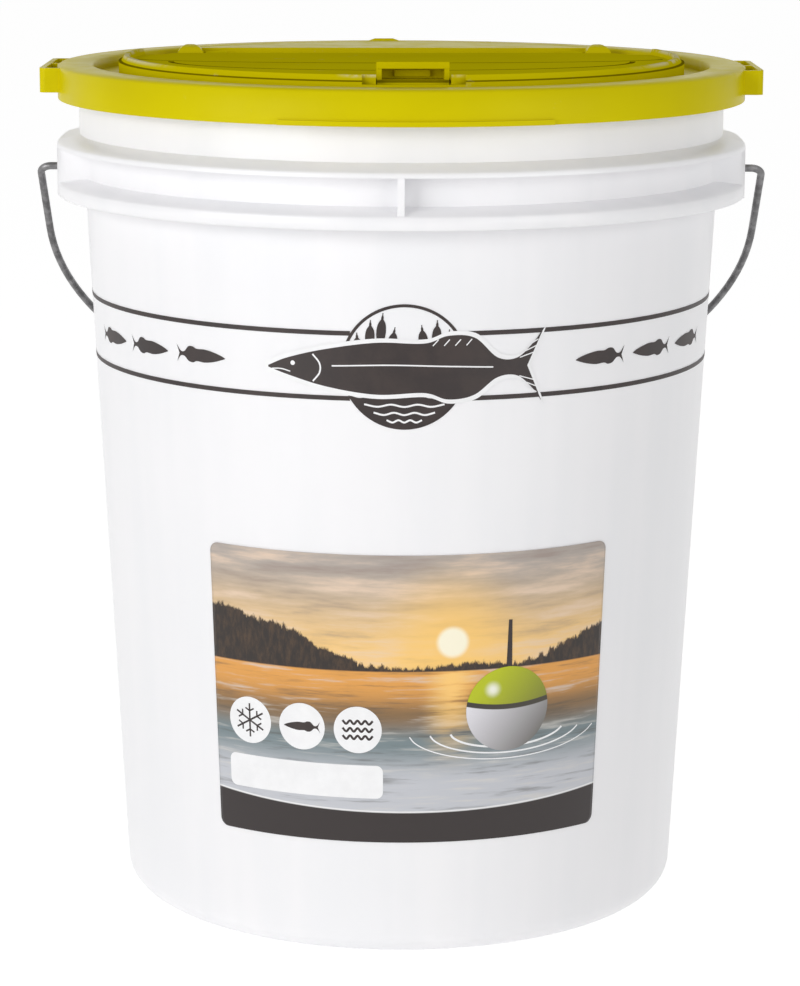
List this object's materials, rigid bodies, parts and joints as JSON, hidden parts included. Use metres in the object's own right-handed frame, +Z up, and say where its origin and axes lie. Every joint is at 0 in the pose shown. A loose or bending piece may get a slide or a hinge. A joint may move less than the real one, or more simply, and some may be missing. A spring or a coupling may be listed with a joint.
{
  "type": "insulated bait bucket",
  "caption": "White plastic pail with a foam liner and foam plug lid, a wire bail with tube grip, and a lime press-on lid whose round door hinges at the back and latches at the front.",
  "frame": {"origin": "centre of the pail's base, on the surface it stands on", "axes": "+Z up along the pail's axis, -Y the front with the label and the lid's latch, +X through the right-hand bail ear"},
  "size_m": [0.3322, 0.3177, 0.389],
  "materials": {
    "pail_plastic": "satin",
    "label_print": "satin",
    "bail_steel": "satin",
    "grip_plastic": "satin",
    "lid_plastic": "satin",
    "foam": "matte"
  },
  "bodies": {
    "pail": {"bucket_body": "pail_plastic", "product_label": "label_print", "foam_liner": "foam"},
    "bail": {"bail_wire": "bail_steel"},
    "grip": {"bail_grip": "grip_plastic"},
    "lid": {"lid_ring": "lid_plastic"},
    "door": {"lid_door": "lid_plastic"},
    "latch": {"latch_tab": "lid_plastic"},
    "foam_lid": {"foam_liner_lid": "foam"}
  },
  "joints": [
    {"name": "bail_swing", "type": "hinge", "parent": "pail", "child": "bail", "pos_m": [0, 0, 0.333], "axis": [1, 0, 0], "range_deg": [0, 263.4]},
    {"name": "grip_spin", "type": "hinge", "parent": "bail", "child": "grip", "pos_m": [0, 0.14935, 0.19991], "axis": [1, 0, 0], "continuous": true},
    {"name": "lid_lift", "type": "slide", "parent": "pail", "child": "lid", "axis": [0, 0, 1], "range_m": [0, 0.15]},
    {"name": "foam_lid_lift", "type": "slide", "parent": "pail", "child": "foam_lid", "axis": [0, 0, 1], "range_m": [0, 0.075]},
    {"name": "door_hinge", "type": "hinge", "parent": "lid", "child": "door", "pos_m": [-0.00335, 0.07998, 0.3777], "axis": [-0.9991, -0.0419, 0], "range_deg": [0, 110]},
    {"name": "latch_flex", "type": "hinge", "parent": "door", "child": "latch", "pos_m": [0.00463, -0.11045, 0.3804], "axis": [0.9991, 0.0419, 0], "range_deg": [0, 8], "stiffness_Nm_per_rad": 0.2}
  ],
  "couplings": [
    {"joint": "foam_lid_lift", "follows": "lid_lift", "ratio": 0.5}
  ]
}
